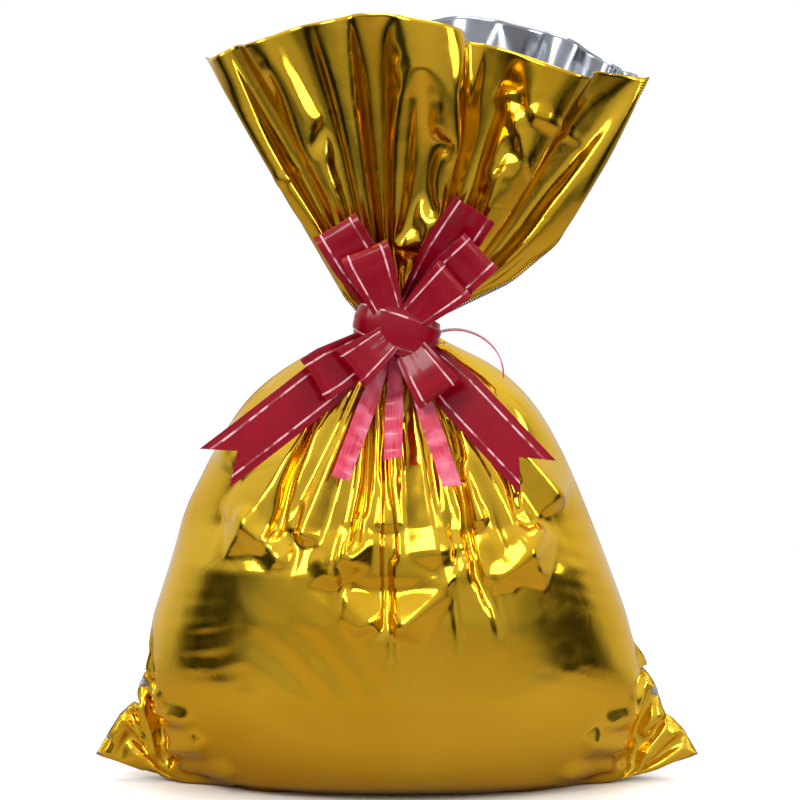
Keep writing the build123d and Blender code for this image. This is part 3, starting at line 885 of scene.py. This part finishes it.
def ribbon_band(name, angle, tilt, path, width, centre=BOW, ends=(0, 0), bow=0.0008,
                gathers=0.0, twist=(0, 0), stripes=True, rows=150):
    """A ribbon with real thickness, carried along a path of (out, forward) points.

    A row of the ribbon is straight across its width, bowed back at its edges, pleated
    by gathers near its start, and raised in two narrow stripes. width gives the half
    width at each distance along the path. ends says how far the middle of each end is
    cut back behind its corners, and twist turns the rows about the path, in degrees,
    from the first to the last."""
    along, normal, across = ribbon_frame(angle, tilt)
    path = np.asarray(path, float)
    chord = run_along(path)
    fine = smooth_curve(path, chord, np.linspace(0, chord[-1], 400))
    run = run_along(fine)
    half = np.array([0, 0.12, 0.25, 0.38, 0.5, 0.62, 0.655, 0.67, 0.685, 0.70, 0.715, 0.73,
                     0.80, 0.88, 0.95, 0.985, 1.0])
    s = np.concatenate([-half[:0:-1], half])
    t = np.concatenate([[0], np.linspace(0.004, 0.996, rows), [1]])
    start = ends[0] * (1 - np.abs(s))
    stop = run[-1] - ends[1] * (1 - np.abs(s))
    d = start[None, :] + t[:, None] * (stop - start)[None, :]
    u = np.interp(d, run, fine[:, 0])
    v = np.interp(d, run, fine[:, 1])
    tangent_u = np.interp(d, run, np.gradient(fine[:, 0], run))
    tangent_v = np.interp(d, run, np.gradient(fine[:, 1], run))
    length = np.hypot(tangent_u, tangent_v) + 1e-12
    tangent_u, tangent_v = tangent_u / length, tangent_v / length
    lift = -bow * s[None, :] ** 2 * np.ones_like(d)
    if stripes:
        lift += STRIPE_RISE * np.exp(-(((np.abs(s) - STRIPE_PLACE) / 0.028) ** 2))
    pleat = np.exp(-d / 0.016) + 0.6 * np.exp(-(run[-1] - d) / 0.012) * (gathers > 0)
    lift += gathers * pleat * np.cos(3.5 * np.pi * s)[None, :]
    turn = np.radians(twist[0] + (twist[1] - twist[0]) * d / run[-1])
    side = np.interp(d, run, width(run)) * s[None, :]
    flat_side = side * np.cos(turn) - lift * np.sin(turn)
    off = side * np.sin(turn) + lift * np.cos(turn)
    # the face of the ribbon is the left side of its path seen in the ribbon's own plane
    shells = []
    for wall in (RIBBON_WALL / 2, -RIBBON_WALL / 2):
        pu = u - (off + wall) * tangent_v
        pv = v + (off + wall) * tangent_u
        shells.append(centre + pu[..., None] * along + pv[..., None] * normal
                      + flat_side[..., None] * across)
    rows, count = d.shape
    points = np.concatenate([shells[0], shells[1][:, ::-1]], axis=1)
    ring = 2 * count
    faces = ring_faces(rows, ring)
    i = np.arange(count - 1)
    cap = np.stack([i, i + 1, ring - 2 - i, ring - 1 - i], axis=-1)[:, ::-1]
    faces = np.concatenate([faces, cap, cap[:, ::-1] + (rows - 1) * ring])
    across_share = (s + 1) / 2
    uv = np.stack([
        np.broadcast_to(np.concatenate([across_share, across_share[::-1]]), (rows, ring)),
        np.concatenate([d, d[:, ::-1]], axis=1) / RIBBON_WIDTH,
    ], axis=-1).reshape(-1, 2)
    points = points.reshape(-1, 3)
    if enclosed(points, faces) < 0:
        faces = faces[:, ::-1]
    return new_object(name, points, faces.tolist(), uv)


def enclosed(points, faces):
    """Volume inside a closed mesh of quads: negative where its faces point inwards."""
    a, b, c, d = (points[faces[:, k]] for k in range(4))
    return (np.cross(b - a, c - a) * a).sum() + (np.cross(c - a, d - a) * a).sum()


def widening(waist, full, spread):
    """Half width of a ribbon that widens from its waist along its length."""
    return lambda run: np.minimum(full, waist + spread * run) / 2


def loop_width(length):
    """Half width of a loop, gathered to its waist at both of its ends."""
    def width(run):
        """Half width at each distance along the loop."""
        from_end = np.minimum(run, run[-1] - run) + 0.10 * length
        return np.minimum(RIBBON_WIDTH, RIBBON_WAIST + RIBBON_SPREAD * from_end) / 2
    return width


def loop_path(length, back, front):
    """A loop seen edge on: out along the back, round the end and home along the front."""
    middle, inner = (back + front) / 2, (front - back) / 8
    return [(0.10 * length, middle - inner), (0.45 * length, back + inner),
            (0.80 * length, back + 0.1 * inner), (0.965 * length, back + 1.6 * inner),
            (length, middle + 0.5 * inner), (0.965 * length, front - 0.8 * inner),
            (0.80 * length, front), (0.45 * length, front - inner),
            (0.10 * length, middle + inner)]


LOOPS = {
    # name: angle, forward tilt, length, back and front of the loop, twist
    "upper_left_outer_loop": (121, 4, 0.076, -0.007, 0.003, 4),
    "upper_left_inner_loop": (112, 4, 0.056, 0.005, 0.019, -5),
    "upper_right_outer_loop": (43, 5, 0.073, -0.007, 0.003, -3),
    "upper_right_inner_loop": (42, 5, 0.051, 0.005, 0.019, 4),
    "lower_left_outer_loop": (211, 15.0, 0.063, -0.006, 0.004, 3),
    "lower_left_inner_loop": (219, 15.0, 0.042, 0.006, 0.019, -4),
    "lower_right_loop": (304, 15.0, 0.052, -0.002, 0.014, 5),
}
TAIL_DEPTH = -0.010
TAILS = {
    # name: angle, tilt, distance to the lifting line, length, droop towards the bag
    "left_tail": (217, 15.0, 0.066, 0.145, 0.006),
    "right_tail": (314, 17.0, 0.058, 0.130, 0.005),
}
NOTCH = 0.018
STRINGS = {
    # name: angle, tilt, length, number of waves, start and end depth, twist
    "left_string_end": (249, 18.0, 0.104, 5, -0.009, 0.002, 14),
    "middle_string_end": (268, 19.0, 0.084, 4, -0.006, 0.000, -18),
    "right_string_end": (290, 19.0, 0.108, 6, -0.009, 0.002, 16),
}


def make_bow():
    """Every ribbon of the bow, each in place of its plain solid."""
    for name, (angle, tilt, length, back, front, turn) in LOOPS.items():
        loop = ribbon_band(f"{name}_ribbon", angle, tilt, loop_path(length, back, front),
                           loop_width(length), bow=0.0007, gathers=0.0011,
                           twist=(-turn / 2, turn / 2))
        finish_ribbon(loop, "bow", "ribbon", name)
    for name, (angle, tilt, root, length, droop) in TAILS.items():
        free = length - root
        path = [
            (0.005, TAIL_DEPTH),
            (root / 2, TAIL_DEPTH),
            (root, TAIL_DEPTH),
            (root + 0.3 * free, TAIL_DEPTH),
            (root + 0.7 * free, TAIL_DEPTH - droop / 3),
            (length, TAIL_DEPTH - 0.85 * droop),
        ]
        tail = ribbon_band(f"{name}_ribbon", angle, tilt, path,
                           widening(RIBBON_WAIST, RIBBON_WIDTH, RIBBON_SPREAD),
                           ends=(0, NOTCH), bow=0.0009, gathers=0.0011)
        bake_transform(tail)
        finish_ribbon(tail, None, "ribbon", name, f"{name}_root")
    back_end = ribbon_band(
        "back_ribbon_end_ribbon", 57, 7,
        [(0.005, -0.010), (0.047, -0.011), (0.072, -0.0112), (0.090, -0.008)],
        widening(RIBBON_WAIST, RIBBON_WIDTH, RIBBON_SPREAD), bow=-0.0012, gathers=0.0011)
    finish_ribbon(back_end, "bow", "ribbon", "back_ribbon_end")
    for name, (angle, tilt, length, waves, root, fall, turn) in STRINGS.items():
        hidden = 0.5 * length
        step = np.arange(1, 4 * waves + 1) / (4 * waves)
        wave = 0.0024 * (0.6 + 0.4 * step) * np.sin(np.pi * waves * step)
        path = [(0.005, root), (0.3 * length, root), (hidden, root)]
        path += list(zip(hidden + step * (length - hidden), root + (fall - root) * step + wave))
        string = ribbon_band(f"{name}_string", angle, tilt, path,
                             widening(STRING_WAIST, STRING_WIDTH, STRING_SPREAD),
                             bow=0.0006, stripes=False, twist=(0, turn), rows=220)
        finish_ribbon(string, "bow", "string", name)


def finish_ribbon(piece, body, finish, *nodes):
    """Gives a ribbon its material, its body and the solids it stands for."""
    piece.data.materials.append(MATERIALS[finish])
    if body:
        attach(piece, body)
    if nodes:
        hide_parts(*nodes)


def make_centre():
    """The bow's gathered middle: a slanting band round a pleated core."""
    path = [(-0.0235, -0.006), (-0.0280, 0.003), (-0.0245, 0.0130), (-0.014, 0.0185),
            (0.0, 0.0200), (0.014, 0.0185), (0.0245, 0.0130), (0.0280, 0.003),
            (0.0235, -0.006)]
    band = ribbon_band("bow_centre_band", 161, 0, path,
                       lambda run: 0.0095 + 0.0050 * np.sin(np.pi * run / run[-1]),
                       bow=0.0030, gathers=0.0008)
    finish_ribbon(band, "bow", "ribbon")
    # pleated core: rings that swell from a point in front to the rim and back to a point
    turn = np.linspace(0, 2 * np.pi, 97)[:-1]
    share = np.linspace(0.02, 0.98, 40)
    radius = np.sin(np.pi * share) ** 0.7
    depth = -np.cos(np.pi * share)
    pleat = 1 + 0.045 * np.sin(np.pi * share)[:, None] * np.cos(14 * turn)[None, :]
    x = 0.0235 * radius[:, None] * pleat * np.cos(turn)[None, :]
    z = 0.0150 * radius[:, None] * pleat * np.sin(turn)[None, :]
    y = BOW[1] + 0.0115 * depth[:, None] * np.ones_like(x)
    slant = math.radians(-12)
    points = np.stack([x * math.cos(slant) - z * math.sin(slant), y,
                       BOW[2] + x * math.sin(slant) + z * math.cos(slant)], axis=-1)
    rows, ring = x.shape
    faces = ring_faces(rows, ring)
    points = points.reshape(-1, 3)
    tips = np.array([points[:ring].mean(0), points[-ring:].mean(0)])
    # a fan of triangles closes each end of the core at its tip
    around = np.arange(ring)
    after = (around + 1) % ring
    last = (rows - 1) * ring
    fan = [np.stack([around, after, np.full(ring, rows * ring)], axis=-1)[:, ::-1],
           np.stack([last + around, last + after, np.full(ring, rows * ring + 1)], axis=-1)]
    points = np.concatenate([points, tips])
    if enclosed(points, faces) < 0:
        faces, fan = faces[:, ::-1], [part[:, ::-1] for part in fan]
    every_face = [face for part in (faces, *fan) for face in part.tolist()]
    core = new_object("bow_core", points, every_face)
    core.data.uv_layers.new(name="UVMap")
    finish_ribbon(core, "bow", "ribbon", "bow_centre")


# ---- Pouch in place ----
film = film_pouch()
front, back = film_objects(film)
for piece, nodes in ((front, ("front_panel", "front_collar", "neck_gather", "filling")),
                     (back, ("back_panel", "back_collar"))):
    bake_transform(piece)
    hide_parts(*nodes)

make_bow()
make_centre()

for name in ("neck_tie", "tie_knot", "side_string_end"):
    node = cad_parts[name]
    node.data.materials.clear()
    node.data.materials.append(MATERIALS["string"])


# ---- Studio: pale floor, soft light, camera ----
def area_light(name, place, target, size, power):
    """A square soft light at place, turned to target."""
    lamp = bpy.data.lights.new(name, "AREA")
    lamp.energy, lamp.size = power, size
    holder = bpy.data.objects.new(name, lamp)
    bpy.context.scene.collection.objects.link(holder)
    aim(holder, place, target)


def aim(thing, place, target):
    """Puts thing at place with its -Z axis towards target."""
    thing.location = place
    thing.rotation_euler = (Vector(target) - Vector(place)).to_track_quat("-Z", "Y").to_euler()


WHITE = (1, 1, 1, 1)
# What the film mirrors: position and red, green and blue of each stop, from behind round to
# the front, and what it is multiplied by, from the ground up to a little below the level.
ROUND_STOPS = ((0.22, 0.80, 0.79, 0.81), (0.44, 0.62, 0.62, 0.62), (0.58, 0.10, 0.10, 0.10),
               (0.66, 0.03, 0.03, 0.03), (0.79, 0.06, 0.06, 0.06), (0.89, 0.44, 0.44, 0.44),
               (1.0, 0.56, 0.55, 0.54))
LOW_STOPS = ((0.0, 0.5, 0.5, 0.5), (0.24, 0.42, 0.42, 0.42), (0.33, 0.34, 0.34, 0.34),
             (0.42, 0.85, 0.85, 0.85), (0.49, 1, 1, 1))


def colour_ramp(tree, value, stops):
    """Colour at value on a straight ramp through the stops."""
    node = add_node(tree, "ValToRGB", {"Fac": value})
    band = node.color_ramp.elements
    for element, (position, *colour) in zip(band, (stops[0], stops[-1])):
        element.position, element.color = position, (*colour, 1)
    for position, *colour in stops[1:-1]:
        band.new(position).color = (*colour, 1)
    return node.outputs["Color"]


def studio_world():
    """White to the camera. In reflections it is bright above and behind, with a darker
    band between the front and the sides."""
    world = bpy.data.worlds.new("studio")
    bpy.context.scene.world = world
    world.use_nodes = True
    tree = world.node_tree
    tree.nodes.clear()
    _, part = coordinates(tree, "Generated")
    around = colour_ramp(tree, ranged(tree, part["Y"], 1, -1), ROUND_STOPS)
    below = colour_ramp(tree, ranged(tree, part["Z"], -1, 1), LOW_STOPS)
    sky = ranged(tree, part["Z"], -0.05, 0.95, shape="SMOOTHSTEP")
    mirrored = mixed(tree, sky, mixed(tree, 1, around, below, "MULTIPLY"), WHITE)
    seen = add_node(tree, "LightPath", {}).outputs["Is Camera Ray"]
    shade = mixed(tree, seen, mirrored, WHITE)
    shine = add_node(tree, "Background", {"Color": shade})
    add_node(tree, "OutputWorld", {"Surface": shine.outputs["Background"]})


FLOOR_HALF = 3.0                     # half the side of the floor
CAMERA_DISTANCE = 1.7
CAMERA_RISE = math.radians(6.5)
LOOK_AT = (0.002, 0, 0.2535)
VIEW_WIDTH = 0.523                   # width in view at the bag
SENSOR = 36                          # millimetres


def studio():
    """Pale floor, soft lights and the camera in front, a little above the bag."""
    corners = FLOOR_HALF * np.array([(-1, -1, 0), (1, -1, 0), (1, 1, 0), (-1, 1, 0)])
    floor = new_object("floor", corners, [[0, 1, 2, 3]], smooth=False)
    floor.data.materials.append(MATERIALS["floor"])
    middle = (0, 0, 0.25)
    area_light("key", (-1.1, -1.3, 1.5), middle, 0.9, 22)
    area_light("fill", (1.4, -0.9, 0.9), middle, 0.7, 9)
    area_light("top", (0.1, 0.3, 1.9), middle, 1.2, 16)
    studio_world()
    lens = bpy.data.cameras.new("camera")
    camera = bpy.data.objects.new("camera", lens)
    bpy.context.scene.collection.objects.link(camera)
    lens.sensor_width = SENSOR
    lens.lens = SENSOR * CAMERA_DISTANCE / VIEW_WIDTH
    aim(camera, (LOOK_AT[0], LOOK_AT[1] - CAMERA_DISTANCE * math.cos(CAMERA_RISE),
                 LOOK_AT[2] + CAMERA_DISTANCE * math.sin(CAMERA_RISE)), LOOK_AT)
    bpy.context.scene.camera = camera
    bpy.context.scene.view_settings.view_transform = "Standard"


studio()
